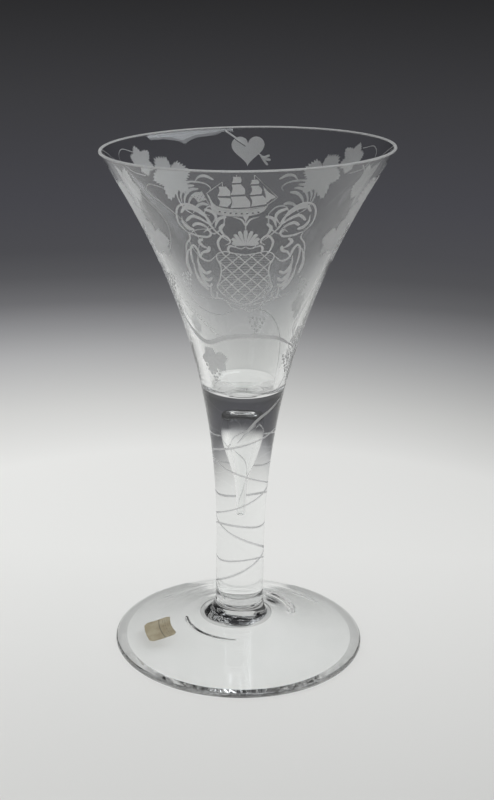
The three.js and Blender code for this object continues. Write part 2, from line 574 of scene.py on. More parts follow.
def wheel_line(spot, path, width, tone, belly=None):
    """One pass of the wheel along a line. It swells towards belly, a share of its length, or not at all."""
    path = np.asarray(path, float)
    share, ahead = along_path(path)
    swell = np.ones(len(share))
    if belly is not None:
        swell = (share + 0.02) ** (1.3 * belly) * (1.02 - share) ** (1.3 * (1 - belly))
        swell = swell / swell.max()
    thinnest, steepness, deepest = 0.05, 0.35, 0.25
    half = np.maximum(width * swell / 2, thinnest)[:, None]
    sideways = np.stack([-ahead[:, 1], ahead[:, 0]], -1) * half
    rails = (spot.sheet(rail) for rail in (path + sideways, path, path - sideways))
    groove(*rails, tone, np.minimum(half[:, 0] * steepness, deepest) * mm)

print("shapes drawn so far:", len(shapes))

# %% Cutting the ornament into the skin
# How deep a whole ground area lies, how near two points of the drawing are one, and how near to
# the seam or the border a point lies on it
GROUND_DEPTH = 0.05 * mm
NO_GAP = 1e-9
ON_THE_LINE = 1e-8


def sheet_grid(half):
    """The plain sheet's points, the edges that have to stay, its border and the seam, and its rows."""
    rows_below = np.linspace(0, seam_length, 60)
    rows_above = np.linspace(seam_length, skin_length, 90)[1:]
    rows = np.concatenate([rows_below, rows_above])
    points = [(x, y) for y in rows for x in np.linspace(-half, half, COLUMNS + 1)]
    wide = COLUMNS + 1
    edges = []
    for row in (0, len(rows_below) - 1, len(rows) - 1):
        edges += [(row * wide + c, row * wide + c + 1) for c in range(COLUMNS)]
    for column in (0, COLUMNS):
        edges += [(r * wide + column, (r + 1) * wide + column) for r in range(len(rows) - 1)]
    return points, edges, rows


def snapped(values, places):
    """Moves each value that lies next to one of the places onto it."""
    nearest = places[np.abs(values[:, None] - places[None, :]).argmin(axis=1)]
    return np.where(np.abs(values - nearest) < 0.75 * SAME_PLACE, nearest, values)


def tones_at(middle, covers):
    """The tone of each triangle: that of the last shape that covers its middle."""
    tone = np.full(len(middle), GLASS)
    order = np.argsort(middle[:, 1])
    for outlines, shape_tone in covers:
        low, high = np.searchsorted(middle[order, 1], (outlines[..., 1].min(), outlines[..., 1].max()))
        near = order[low:high]
        near = near[(middle[near, 0] > outlines[..., 0].min()) & (middle[near, 0] < outlines[..., 0].max())]
        tone[near[inside(middle[near], outlines)]] = shape_tone
    return tone


def cut_skin():
    """Triangulates the sheet so that every line of the ornament is an edge of it."""
    half = math.pi * SHEET_RADIUS
    points, edges, rows = sheet_grid(half)
    depths = [0.0] * len(points)
    covers = []
    for corners, lines, cover, tone, depth in shapes:
        for shift in (-2 * half, 0.0, 2 * half):
            moved = corners + (shift, 0)
            if moved[:, 0].max() < -half or moved[:, 0].min() > half:
                continue
            start = len(points)
            points.extend(map(tuple, moved))
            depths.extend(depth)
            for line in lines:
                edges += [(start + int(a), start + int(b)) for a, b in zip(line, line[1:])]
            covers.append((moved[cover], tone))
    flat = [Vector(point) for point in points]
    made, _, triangles, from_points, _, _ = delaunay_2d_cdt(flat, edges, [], 0, NO_GAP)
    made = np.array([tuple(point) for point in made])
    depth = np.array([max((depths[i] for i in origin), default=0.0) for origin in from_points])
    columns = np.linspace(-half, half, COLUMNS + 1)
    made = np.stack([snapped(made[:, 0], columns), snapped(made[:, 1], rows)], -1)
    left, right = (np.flatnonzero(made[:, 0] == side) for side in (-half, half))
    left, right = (line[np.argsort(made[line, 1])] for line in (left, right))
    made[right, 1] = made[left, 1]
    triangles = np.array(triangles)
    middle = made[triangles].mean(axis=1)
    held = (np.abs(middle[:, 0]) < half) & (middle[:, 1] > 0) & (middle[:, 1] < skin_length)
    triangles, middle = triangles[held], middle[held]
    return made, depth, triangles, tones_at(middle, covers), middle


def skin_patch(sheet, above):
    """The part of the cut skin above or below the seam."""
    made, depth, triangles, tone, middle = sheet
    chosen = (middle[:, 1] > seam_length) == above
    triangles, tone = triangles[chosen], tone[chosen]
    used, faces = np.unique(triangles, return_inverse=True)
    faces = faces.reshape(-1, 3)
    ground, clear = (np.zeros(len(used), bool) for _ in range(2))
    ground[faces[tone != GLASS].ravel()] = True
    clear[faces[tone == GLASS].ravel()] = True
    deep = np.where(ground, depth[used], 0)
    deep = np.where(ground & ~clear, np.maximum(deep, GROUND_DEPTH), deep)
    on_seam = np.abs(made[used, 1] - seam_length) < ON_THE_LINE
    on_border = np.abs(np.abs(made[used, 0]) - math.pi * SHEET_RADIUS) < ON_THE_LINE
    deep[on_seam | on_border] = 0
    points, normals = roll_up(made[used, 0], made[used, 1], deep)
    return Patch(points, faces.tolist(), normals, tone.tolist())


def rim_points(patch, height):
    """The points of a patch's edge at one height, in order round the axis."""
    edge = patch.points[np.abs(patch.points[:, 2] - height) < 2.5 * SAME_PLACE]
    _, first = np.unique(np.round(edge / SAME_PLACE).astype(np.int64), axis=0, return_index=True)
    edge = edge[first]
    return edge[np.argsort(np.arctan2(edge[:, 1], edge[:, 0]))]


def flat_ring(outer, inner, height, finish):
    """A flat face between two loops of points, facing up."""
    flat = [Vector((x, y)) for x, y in np.concatenate([outer[:, :2], inner[:, :2]])]
    edges = [(i, (i + 1) % len(outer)) for i in range(len(outer))]
    edges += [(len(outer) + i, len(outer) + (i + 1) % len(inner)) for i in range(len(inner))]
    made, _, faces, _, _, _ = delaunay_2d_cdt(flat, edges, [], 0, NO_GAP)
    made = np.array([(x, y, height) for x, y in made])
    hole = np.hypot(inner[:, 0], inner[:, 1]).min() * 0.9999
    middle = made[np.array(faces)].mean(axis=1)
    kept = [face for face, at in zip(faces, middle) if math.hypot(at[0], at[1]) > hole]
    normals = np.tile([0.0, 0.0, 1.0], (len(made), 1))
    return Patch(made, kept, normals, [finish] * len(kept))

print("the plain sheet has", len(sheet_grid(math.pi * SHEET_RADIUS)[0]), "points")

# %% [markdown]
# ## The two trails round the stem
# Two thin ground lines climb the stem in opposite turns and cross at its left and right sides. The
# turns get closer together on the way up, so the height is a curve of the number of half turns.

# %% Trails
def trail(hand):
    """One line down the stem, cut piece by piece: hand 1 turns one way, -1 the other."""
    top, per_half_turn, more_each_time, half_turns = 95.4, 12.2, 0.35, 5.3
    count, full_turn = 150, 2 * math.pi * SHEET_RADIUS
    t = np.linspace(0, half_turns, count)
    height = (top - per_half_turn * t - more_each_time * t ** 2) * mm
    angle = hand * math.pi * t
    wander = 0.25 * np.sin(2.3 * t + hand) + 0.12 * np.sin(9.1 * t)
    across = (angle - 2 * math.pi * np.round(angle / (2 * math.pi))) * SHEET_RADIUS
    up = length_at(height) + wander * mm
    width = 0.8 + 0.16 * np.sin(5 * t + 2 * hand)
    for i in range(count - 1):
        step = across[i + 1] - across[i]
        step -= full_turn * round(step / full_turn)
        rise = up[i + 1] - up[i]
        stretch = outer_radius(height[i]) / SHEET_RADIUS
        long = math.hypot(step * stretch, rise)
        aside = np.array([-rise / stretch, step * stretch]) / long * mm / 2
        start, end = np.array([across[i], up[i]]), np.array([across[i] + step, up[i + 1]])
        a, b = aside * width[i], aside * width[i + 1]
        rails = (np.array(rail) for rail in ([start + a, end + b], [start, end], [start - a, end - b]))
        groove(*rails, DEEP, 0.1 * mm)

trail(1)
trail(-1)
print("trails:", len(shapes), "pieces")

# %% [markdown]
# ## Vine, leaves and grapes
# A vine grows out of the trails and round the bowl. Its leaves are ground as whole areas, so they
# look grey and soft, and their veins are cut deeper. The grapes are small round cuts in a bunch.

# %% Leaf, bunch, stroke and vine
# Each lobe of a leaf: its direction in degrees, clockwise from straight up, and its length
LOBES = [(-118, 0.8), (-58, 0.95), (0, 1.08), (58, 0.95), (118, 0.8)]
VEIN_LEAN = 17


def heading(degrees):
    """A step of 1 in a direction, in degrees clockwise from straight up."""
    return np.array([math.sin(math.radians(degrees)), math.cos(math.radians(degrees))])


def vine_leaf(spot, size):
    """A vine leaf: five pointed lobes with sawn edges, a notch at the stalk, its veins cut deeper."""
    count = 126
    turn = np.linspace(-180, 180, count, endpoint=False)
    lobes = [0.62 + (long - 0.62) * np.clip(1 - np.abs(turn - at) / 30, 0, 1) for at, long in LOBES]
    stalk_notch = 0.4 * np.clip(1 - (180 - np.abs(turn)) / 22, 0, 1)
    teeth = 0.12 * np.take([0, 1, 0.5], np.arange(count) % 3)
    radius = size * (np.max(lobes, axis=0) - stalk_notch + teeth)
    outline = np.stack([radius * np.sin(np.radians(turn)), radius * np.cos(np.radians(turn))], -1)
    rise = outline @ (spot.sine, spot.cosine)
    below_the_rim = np.clip(spot.room_above / np.maximum(rise, 0.1), 0, 1)
    area(spot, outline * below_the_rim[:, None], LIGHT)
    for at, long in LOBES:
        for aside, share in ((-VEIN_LEAN, 0.72), (0, 0.9), (VEIN_LEAN, 0.72)):
            tip = heading(at + aside) * size * long * share
            start = heading(at) * size * 0.3 * abs(aside) / VEIN_LEAN
            wheel_line(spot, flow([start, (start + tip) / 2, tip], 3), 0.26, DEEP, 0.3)


def bunch(spot, rows, pitch=1.7, berry=0.66):
    """Grapes: round cuts in rows that get shorter towards the tip."""
    turn = np.linspace(0, 2 * math.pi, 9)[:-1]
    for row in range(rows):
        number = rows - row
        for i in range(number):
            right = (i - (number - 1) / 2) * pitch + 0.25 * math.sin(5 * row + 3 * i)
            up = -row * pitch * 0.86 + 0.25 * math.cos(4 * i + row)
            edge = np.stack([right + berry * np.cos(turn), up + berry * np.sin(turn)], -1)
            area(spot, edge, LIGHT)


def strokes(spot, width, tone, belly, paths):
    """Several passes of the wheel in one hand, each through its own points."""
    for path in paths:
        wheel_line(spot, flow(path, 5), width, tone, belly)


def vine(places, width, tone=DEEP, full=False):
    """A line that runs round the glass through (angle, height) places. A full one swells in the middle."""
    route = flow(places, 10)
    across, up = np.radians(route[:, 0]) * SHEET_RADIUS, length_at(route[:, 1] * mm)
    stretch = outer_radius(route[:, 1] * mm) / SHEET_RADIUS
    share, ahead = along_path(np.stack([across * stretch, up], -1))
    swell = np.sin(math.pi * np.clip(share, 0.05, 0.95)) ** 0.6 if full else np.ones(len(share))
    half = (width * mm / 2 * swell)[:, None]
    sideways = np.stack([-ahead[:, 1] / stretch, ahead[:, 0]], -1) * half
    middle = np.stack([across, up], -1)
    groove(middle + sideways, middle, middle - sideways, tone, 0.12 * mm)

print("a vine leaf has", len(LOBES), "lobes")

# %% The vine round the bowl
# Places are (angle in degrees, height in mm): -90 is the front, 90 the back, 0 the right
vine([(-98, 90.4), (-82, 95.4), (-66, 100.3), (-42, 104.4), (-20, 108.4)], 1.3, LIGHT, full=True)
vine([(-20, 108.4), (-8, 114.4), (-12, 122.4), (-26, 127.4), (-30, 129.4)], 0.6)
vine([(-156, 148.4), (-150, 139.4), (-129, 132.9), (-106, 135.9), (-86, 137), (-60, 135.4), (-42, 131.9),
      (-30, 129.4)], 2, LIGHT, full=True)
vine([(-178, 148.4), (-158, 143), (-145, 136.4), (-129, 132.9)], 0.4)
vine([(-30, 129.4), (-41, 138.1), (-37, 144.4), (-33.5, 148.6), (-22, 163.4), (-12, 176.4), (4, 186.4),
      (22, 192.4)], 0.4)
vine([(-29, 128.4), (-38, 137.4), (-34, 145.4), (-30, 149.4), (-19, 163.4), (-9, 176.4), (8, 188.4)], 0.25)
vine([(8, 108.4), (30, 122.4), (60, 132.4), (90, 134.4), (120, 132.4), (150, 138.4), (170, 150.4),
      (178, 164.4)], 0.6, LIGHT)
vine([(-124, 195.4), (-131, 196.4), (-134, 193.4), (-127, 188.4), (-119, 182.4), (-114, 176.4),
      (-117, 170.4)], 0.35)
vine([(-116, 168.4), (-120, 174.4), (-116, 179.4), (-106, 180.9)], 0.35)
vine([(-141, 191.4), (-133, 185.4), (-131, 178.4), (-137, 170.4), (-151, 166.4)], 0.3)
vine([(150, 197.4), (158, 199.4), (164, 196.4), (160, 191.4), (150, 188.4)], 0.3)
vine([(30, 197.9), (22, 199.4), (16, 196.4), (20, 191.4), (30, 188.4)], 0.3)
for angle, height, size, turn in (
        (132, 187.4, 10.5, 205), (148, 193.4, 7, 60), (-159, 185.4, 13, 100), (-172, 167.4, 10, 95),
        (174, 185.4, 11, -20), (-146, 174.4, 9, 150), (49, 187.4, 10.5, 155), (33, 193.4, 7, -60),
        (-22, 185.4, 13, -100), (-8, 168.4, 10, -80), (8, 185.4, 11, 20), (-34, 174.4, 9, 210),
        (-122, 126.4, 6.5, 160), (-14, 131.4, 6, 40), (168, 130.4, 6.5, -30), (20, 138.4, 6.5, 30)):
    vine_leaf(Spot(angle, height, turn), size)
for angle, height, rows in (
        (-124, 123.9, 6), (-32, 126.4, 6), (26, 148.4, 6), (152, 150.4, 6), (76, 130.4, 5), (-151, 158.4, 5)):
    bunch(Spot(angle, height), rows)
print("with the vine:", len(shapes), "pieces")

# %% [markdown]
# ## The ship on the front
# A small three-masted ship under full sail stands high on the front. Its sails are ground as whole
# areas with clear slits between them, so each sail reads as one. Yards, rigging and the line of
# the deck are cut over them with a thin wheel.

# %% Ship
def sail(spot, corners, wind):
    """A square sail full of wind: straight above and below, both sides bulging to the right."""
    low_left, low_right, top_right, top_left = np.array(corners, float)
    push = np.array([wind, 0])
    right_side = flow([low_right, (low_right + top_right) / 2 + push, top_right], 4)
    left_side = flow([top_left, (low_left + top_left) / 2 + 0.7 * push, low_left], 4)
    area(spot, np.concatenate([right_side, left_side]), DEEP)
    wheel_line(spot, [top_left, top_right], 0.22, GLASS)


def ship(spot):
    """The hull with its ports, eight sails and a jib, a flag of dots, and masts and ropes."""
    hull = flow([(-13, 7.5), (-11.7, 3.5), (-11, -0.5), (-9, -2.2), (-4, -2.8), (2, -2.6), (6.5, -1),
                 (8.6, 2.2)], 4)
    deck = flow([(6.5, 1), (3, 0.5), (-3, 0.3), (-8, 1), (-10.5, 3), (-12, 6.5)], 4)
    area(spot, np.concatenate([hull, deck]), LIGHT)
    strokes(spot, 0.3, DEEP, None, [
        [(-11.2, 1), (-8, -0.6), (-2, -1.3), (4, -1), (7.8, 1)],
        [(-12.8, 7.3), (-10.8, 3), (-8, 1), (-2, 0.3), (7, 1.3)]])
    port = np.array([(0, 0), (0.7, 0.05), (0.7, 0.65), (0, 0.6)])
    for i in range(8):
        area(spot, port + (-8.6 + 1.9 * i, -1.9 + 0.05 * (i - 4) ** 2), GLASS)
    for *corners, wind in (
            ((-8.5, 1.8), (-5.6, 1.3), (-4.6, 5.4), (-9, 5.6), 0.9),
            ((-9, 6.1), (-4.6, 6.3), (-6, 10.5), (-8.5, 10.5), 0.7),
            ((-4.4, 1), (2.3, 1.3), (0.5, 6.3), (-4.4, 6), 0.7),
            ((-4.5, 6.7), (0.4, 7), (-1, 11.6), (-4, 11.4), 0.7),
            ((-4, 12), (-1, 12.1), (-1.2, 14.9), (-3.6, 14.9), 0.4),
            ((2.6, 1.5), (7.8, 2.5), (6.4, 6.4), (2.2, 6.1), 0.7),
            ((2.1, 6.7), (6, 7), (5, 10.9), (2.5, 10.8), 0.7),
            ((2.1, 11.4), (5, 11.5), (4.6, 13.5), (2.6, 13.5), 0.4)):
        sail(spot, corners, wind)
    jib = [(6.6, 10.4), (8.6, 7.6), (11, 5.4), (9.3, 4.5), (7.9, 3.2), (7.4, 6.5), (6.6, 10.4)]
    area(spot, flow(jib, 3)[:-1], DEEP)
    area(spot, [(-19, 5.2), (-14.6, 8), (-13.6, 6), (-13, 4.3), (-16, 3), (-17, 4.6)], LIGHT)
    for mast_or_rope in (
            [(8, 2), (11.6, 5.2)], [(-14.6, 8.1), (-11.2, 0.5)], [(-2.4, 14.9), (-2.4, 17.4)],
            [(3.6, 13.5), (3.6, 15.5)], [(-7.2, 10.5), (-7.2, 12.4)], [(3.6, 15.5), (11.6, 5.2)],
            [(-7.2, 12.4), (-12.6, 7.4)]):
        wheel_line(spot, mast_or_rope, 0.25, DEEP)
    dot = np.array([(0, 0), (0.3, 0), (0.3, 0.3), (0, 0.3)])
    for row in range(5):
        for column in range(4):
            area(spot, dot + (-17.6 + 1.1 * column + 0.35 * row, 4.6 + 0.75 * row - 0.3 * column), GLASS)

ship(Spot(-91, 188.4))
print("with the ship:", len(shapes), "pieces")

# %% [markdown]
# ## The cartouche
# Under the ship sits a scrolled shield with a shell over it, a stock ornament of engravers. The
# left half is drawn as strokes that swell where the wheel was pressed, and the right half mirrors
# it. Fine hatching and a wide trellis fill the shield, each cut ending at the shield's edge.

# %% Scrollwork
def hatching(spot, outline, slope, pitch, width, tone):
    """Straight cuts side by side, each ending at the outline."""
    ahead = np.array([math.cos(math.radians(slope)), math.sin(math.radians(slope))])
    aside = np.array([-ahead[1], ahead[0]])
    middle = outline.mean(axis=0)
    reach = np.linalg.norm(outline - middle, axis=1).max()
    along = np.arange(-reach, reach, 0.25)
    for offset in np.arange(-reach, reach, pitch):
        line = middle + aside * offset + ahead * along[:, None]
        held = np.flatnonzero(inside(line, outline))
        if len(held) > 4 and held[-1] - held[0] == len(held) - 1:
            wheel_line(spot, line[[held[0], held[len(held) // 2], held[-1]]], width, tone)


def mantling(spot):
    """One half of the scrollwork, left of the shield."""
    strokes(spot, 0.95, DEEP, 0.5, [
        [(-6, 6.5), (-9, 9), (-12, 12.5), (-15, 18.5), (-20, 22), (-24.3, 21), (-25.6, 17), (-24.5, 12.5),
         (-21, 9)],
        [(-21.5, 9.3), (-17, 8), (-13.2, 8), (-12.3, 9.8), (-13.5, 11), (-15, 9.8)],
        [(-7.5, 0.5), (-9, 2.5), (-9.7, 6), (-8, 8.6), (-6, 7.6), (-5.4, 5.7), (-7, 4.5)],
        [(-5.3, 0.8), (-6.1, 2.6), (-5.4, 4.2), (-3.4, 3.6)],
        [(-10.5, -0.5), (-13, -3), (-16, -2), (-17.5, 1.5), (-19.2, 3.5), (-20.4, 1.5), (-20, -3),
         (-18.5, -8)]])
    strokes(spot, 1.35, DEEP, 0.72, [
        [(-11.5, 13), (-14, 16.8), (-18, 19.8), (-21.8, 20.2)],
        [(-11, 12), (-15, 15.2), (-19, 16.8), (-21.8, 14.2)],
        [(-13.5, 16.5), (-17.5, 20.6), (-21.5, 21), (-23.6, 17.8)],
        [(-23.4, 16.4), (-23, 13.5), (-21, 11.3), (-18.6, 10.6)],
        [(-12.3, 11), (-15, 13), (-17.5, 13.6), (-19.3, 12.2)],
        [(-12, 13.5), (-10.4, 16.5), (-11.5, 19), (-14.6, 20.3)],
        [(-10.8, 12), (-10, 15), (-9, 16.5), (-6.8, 17.2)],
        [(-6.5, 8), (-8.2, 10), (-8.8, 12.2), (-7.4, 14)],
        [(-17.5, -1), (-17.2, -5), (-14.7, -8.6), (-12.4, -7.6)],
        [(-17.8, -3.5), (-16.3, -9), (-13.8, -11.8), (-12, -10.6)],
        [(-17.6, -7), (-15.3, -12.4), (-13.2, -14.4), (-12, -13.4)],
        [(-18.8, 2.6), (-21.6, 0.5), (-22.2, -5), (-20.4, -10)],
        [(-19.6, -5), (-18.2, -10), (-16.2, -13.5), (-13.6, -16.2)],
        [(-16.5, -2.2), (-15.6, 0.5), (-13.4, 1.6), (-13, 3.6)],
        [(-12.8, 2.4), (-15.2, 3.4), (-16.8, 5.4), (-15.4, 6.8)]])
    strokes(spot, 0.7, DEEP, 0.4, [
        [(-12.6, -14.4), (-12.2, -18.4), (-10.6, -19.6), (-10, -17.4), (-11.6, -16.2)],
        [(-21, 9), (-20.4, 6.5), (-22, 3.6), (-22.6, -1)],
        [(0, 13), (-1.5, 16), (-4.6, 17.2)]])


def shell(spot, size):
    """A shell: ribs spread like a fan over a small foot."""
    for i in range(-4, 5):
        reach = size * (1 - 0.018 * i * i)
        tip = heading(19 * i) * reach
        wheel_line(spot, flow([(0, 0), tip * 0.5 + (0.25 * i / 4, -0.2), tip], 4), size * 0.21, DEEP, 0.82)
    for side in (-1, 1):
        curled_foot = [(0, -0.6), (1.6, -1.4), (3.4, -0.6), (3.2, 1), (1.9, 0.9)]
        wheel_line(spot, flow([(side * x, y) for x, y in curled_foot]), 0.5, DEEP, 0.3)

print("hatching, mantling and shell are ready to be cut")

# %% The cartouche, both halves
cartouche_angle, cartouche_height = -90, 170.4
for side in (1, -1):
    mantling(Spot(cartouche_angle, cartouche_height, side=side))
cartouche = Spot(cartouche_angle, cartouche_height)
right_edge = [(0, 0.2), (4, 0.9), (7.6, 1.6), (10.4, -0.6), (8.6, -5.5), (9, -11), (10, -14.5), (7.5, -18),
              (3.5, -20.6), (0, -22)]
shield = np.array(right_edge + [(-x, y) for x, y in right_edge[-2:0:-1]])
hatching(cartouche, shield, 0, 0.75, 0.13, LIGHT)
for slope in (48, -48):
    hatching(cartouche, shield, slope, 3.4, 0.42, DEEP)
for side in (1, -1):
    wheel_line(cartouche, flow([(side * x, y) for x, y in right_edge], 4), 0.5, DEEP)
shell(Spot(cartouche_angle, cartouche_height + 4), 6.8)
strokes(cartouche, 0.4, DEEP, None, [
    [(-20.5, -17.5), (-15.5, -20), (-9, -19.6), (-5.5, -21.2), (0, -22.4), (6, -21.2), (11.5, -19.6),
     (17.5, -18)],
    [(-6, -21.8), (-3.5, -24), (-0.5, -23.2), (1.5, -25.2), (5, -23.6), (7, -21.8)],
    [(0, 11.5), (0, 15.4)]])
area(cartouche, [(0, 15), (-1, 17.3), (-0.5, 18.2), (0.5, 18.2), (1, 17.3)], DEEP)
print("with the cartouche:", len(shapes), "pieces")

# %% [markdown]
# ## The back: a heart with an arrow, and two scrolls
# On the back of the bowl, seen through the front, are a heart with an arrow through it and a pair
# of leafy scrolls, the usual signs of love and luck on such glasses.

# %% Heart and scrolls
def heart(spot, wide):
    """The heart comes from its well-known formula; the arrow goes in at one shoulder and out below."""
    t = np.linspace(0, 2 * math.pi, 49)[:-1]
    across = 16 * np.sin(t) ** 3
    up = 13 * np.cos(t) - 5 * np.cos(2 * t) - 2 * np.cos(3 * t) - np.cos(4 * t)
    area(spot, np.stack([across, up * 1.05], -1) * wide / 32, LIGHT)
    wheel_line(spot, [(-9.3, 8), (-4.5, 4.4), (-0.6, 1.6)], 0.75, DEEP)
    wheel_line(spot, [(-8.8, 7), (-4.6, 3.6), (-1, 1)], 0.3, GLASS)
    strokes(spot, 1.1, LIGHT, 0.75, [
        [(5, -2.6), (6.8, -3.6), (9, -2.8)], [(5, -2.8), (7, -4.4), (9.4, -4.8)],
        [(5, -3), (6.6, -5), (8.2, -7)]])
    wheel_line(spot, [(4, -1.8), (6.6, -3.9)], 0.5, DEEP)


def leafy_scroll(spot):
    """A long scroll with leaves that swell along its inner side."""
    strokes(spot, 0.85, LIGHT, 0.5, [
        [(-4, -9), (-8.5, -5.5), (-10.6, 0), (-8.4, 4.4), (-3, 5.4), (3, 4.2), (5.4, 2), (4.4, 0.4)]])
    strokes(spot, 1.3, LIGHT, 0.65, [
        [(-9, -3.5), (-8.6, 0.5), (-5.5, 3.4), (-1.5, 3.6)], [(-8, -5), (-7, -1), (-4, 1.8), (0, 2)],
        [(-6.6, -6.2), (-5, -2.4), (-2, -0.2), (1.5, 0)], [(-4.5, -8), (-2.5, -5.5), (0.5, -4.5), (3, -5.2)],
        [(-1, 5.2), (1.5, 7.2), (4.5, 7.2), (7.5, 5.4)]])

heart(Spot(90, 194.7, side=-1), 13.5)
leafy_scroll(Spot(118, 178.9, side=-1))
leafy_scroll(Spot(63, 178.9, side=1))
for angle, side in ((104, 1), (76, -1)):
    strokes(Spot(angle, 170.4, side=side), 0.7, LIGHT, 0.4, [
        [(0, 0), (3, 3), (7, 3.4), (8.6, 0.8), (6.4, -0.4)],
        [(0, 0), (1, -5), (5, -8), (8, -6), (6.6, -3.8)]])
link = np.array([(math.cos(turn), 0.62 * math.sin(turn)) for turn in np.linspace(0, 2 * math.pi, 11)])
for i in range(7):
    wheel_line(Spot(-146 + 5.5 * i, 149.9 - 2.3 * i, turn=-38), link * 1.3, 0.25, DEEP)
print("the ornament:", len(shapes), "pieces")

# %% [markdown]
# ## Bowl and stem
# The bowl's cavity ends in a shallow round floor, and the air tear starts a finger's breadth below
# it: a round head, widest at the seam, then a long tail down the stem. Bowl and stem were drawn
# from one lump of glass, so the seam between the two pieces is a fused joint that bends no light.

# %% Curves of the bowl and the tear
def ellipse(centre_radius, centre_height, wide, high, start, end, count, curve=1.0):
    """Part of an ellipse, angles in degrees. A curve below 1 makes it boxier."""
    angle = np.radians(np.linspace(start, end, count + 1))
    across, up = (np.sign(side) * np.abs(side) ** curve for side in (np.cos(angle), np.sin(angle)))
    radius = np.maximum(centre_radius + wide * across, 0)
    radius[radius < 1e-9] = 0
    return np.stack([radius, centre_height + high * up], -1)


def lip_and_cavity():
    """From the top of the outer skin over the lip, frosted to paint its bright highlight, and down the inside
    to the axis.
    """
    curve = lip_thickness / 2
    lip_height = glass_height - curve
    lip = ellipse(float(outer_radius(lip_height)) - curve, lip_height, curve, curve, 0, 180, 12)
    edge = cavity_floor + cavity_corner
    heights = np.linspace(lip_height, edge, 80)
    wall = np.stack([inner_radius(heights), heights], -1)
    floor = ellipse(0, edge, float(inner_radius(edge)), cavity_corner, 0, -90, 28)
    # The lip takes the light ground finish: a painted highlight along the rim
    return [lathe(lip, LIGHT), lathe(np.concatenate([lip[-1:], wall[1:], floor[1:]]))]


def tear_head():
    """From the tear's top down to its widest place at the seam."""
    return ellipse(0, seam_height, tear_radius, tear_top - seam_height, 90, 0, 40, 0.45)


def tear_tail():
    """Down the stem: a long taper, then a thin neck with a round end."""
    neck, taper, tail = 1.25 * mm, 29 * mm, 9.5 * mm
    share = np.linspace(0, 1, 50)
    swell = (1 + np.cos(math.pi * share)) / 2
    long = np.stack([neck + (tear_radius - neck) * swell, seam_height - taper * share], -1)
    end = seam_height - taper - tail
    tip = ellipse(0, end + neck, neck, neck, 0, -90, 8)
    return np.concatenate([long, tip])

print("tear from", round(tear_top / mm, 1), "mm down to", round(tear_tail()[-1, 1] / mm, 1), "mm")

# %% Bowl and stem pieces
def make_bowl(sheet):
    """The bowl from the seam up, with the dimple of the tear's head."""
    skin = skin_patch(sheet, above=True)
    head = lathe(tear_head())
    seam = flat_ring(rim_points(skin, seam_height), rim_points(head, seam_height), seam_height, JOINT)
    return weld("bowl_glass", [skin, *lip_and_cavity(), head, seam.turned_over()])


def make_stem(sheet):
    """The stem from the foot to the seam, with the pocket of the tear's tail."""
    skin = skin_patch(sheet, above=False)
    tail = lathe(tear_tail())
    seam = flat_ring(rim_points(skin, seam_height), rim_points(tail, seam_height), seam_height, JOINT)
    neck = float(outer_radius(foot_height))
    base = lathe([(0, foot_height), (neck * 0.5, foot_height), (neck, foot_height)], JOINT)
    return weld("stem_glass", [skin, tail, seam, base])

sheet = cut_skin()
bowl = make_bowl(sheet)
stem = make_stem(sheet)
report_edges(bowl)
report_edges(stem)
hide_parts("bowl")
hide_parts("stem")

# %% [markdown]
# ## The foot
# The foot is a wide cone of thick glass. Its rim is rounded, its top slopes up to a collar, and
# its underside is hollow, so the glass stands on a narrow ring. The glassmaker's tools left faint
# rings, a slow spiral and a few dents on it, which make the lines of light on the foot wander.
# Each face is a patch of its own, so its corners stay as sharp as they are on the real foot.

# %% Foot
foot_rim = 2.2 * mm
foot_slope = math.radians(14.5)
collar_aside = 1.3 * mm
collar_radius = 14.8 * mm
foot_wall = 3.1 * mm
hollow_height = 9.3 * mm
scar_radius = 6.5 * mm
top_start = np.array([
    foot_radius - foot_rim / 2 * (1 - math.sin(foot_slope)),
    foot_rim / 2 * (1 + math.cos(foot_slope))])


def foot_curve():
    """The foot's faces from the hollow's roof round the rim to the stem, and its two fused joints."""
    rest_outer = foot_radius - foot_rim / 2
    under_start = top_start[1] - foot_wall / math.cos(foot_slope)
    hollow_radius = top_start[0] - (hollow_height - under_start) / math.tan(foot_slope)
    rest_inner = top_start[0] + under_start / math.tan(foot_slope)
    collar_low = top_start[1] + (top_start[0] - collar_radius) * math.tan(foot_slope)
    roof = np.linspace((scar_radius, hollow_height), (hollow_radius, hollow_height), 10)
    under = np.linspace((hollow_radius, hollow_height), (rest_inner, 0), 50)
    ring = np.linspace((rest_inner, 0), (rest_outer, 0), 9)
    rim_end = 90 - math.degrees(foot_slope)
    rim = ellipse(rest_outer, foot_rim / 2, foot_rim / 2, foot_rim / 2, -90, rim_end, 20)
    top = np.linspace(top_start, (collar_radius, collar_low), 120)
    collar_wide = collar_radius - stem_radius
    collar = ellipse(collar_radius, foot_height, collar_wide, foot_height - collar_low, 270, 180, 32, 1.2)
    neck = float(outer_radius(foot_height))
    ledge = np.linspace((stem_radius, foot_height), (neck, foot_height), 3)
    seat = np.linspace((neck, foot_height), (0, foot_height), 3)
    hidden_roof = np.linspace((0, hollow_height), (scar_radius, hollow_height), 3)
    outside = np.concatenate([rim, top[1:]])
    # The resting ring and the collar take the glass greyed as painted shade
    open_faces = [(roof, GLASS), (under, GLASS), (ring, REST), (outside, GLASS), (collar, COLLAR),
                  (ledge, GLASS)]
    return open_faces, (seat, hidden_roof)


def foot_top(radius):
    """The height of the foot's sloping top."""
    return top_start[1] + (top_start[0] - radius) * math.tan(foot_slope)


# Dents in the foot's top: radius where it starts and ends (mm), angles (degrees), depth and width (mm)
DENTS = [(21.5, 21.6, -176, -86, 0.55, 0.7), (21.5, 28, 5, 66, 0.9, 1.2), (41, 36.8, 31, 54, 0.12, 0.5),
         (38, 41, 135, 147, 0.12, 0.5)]


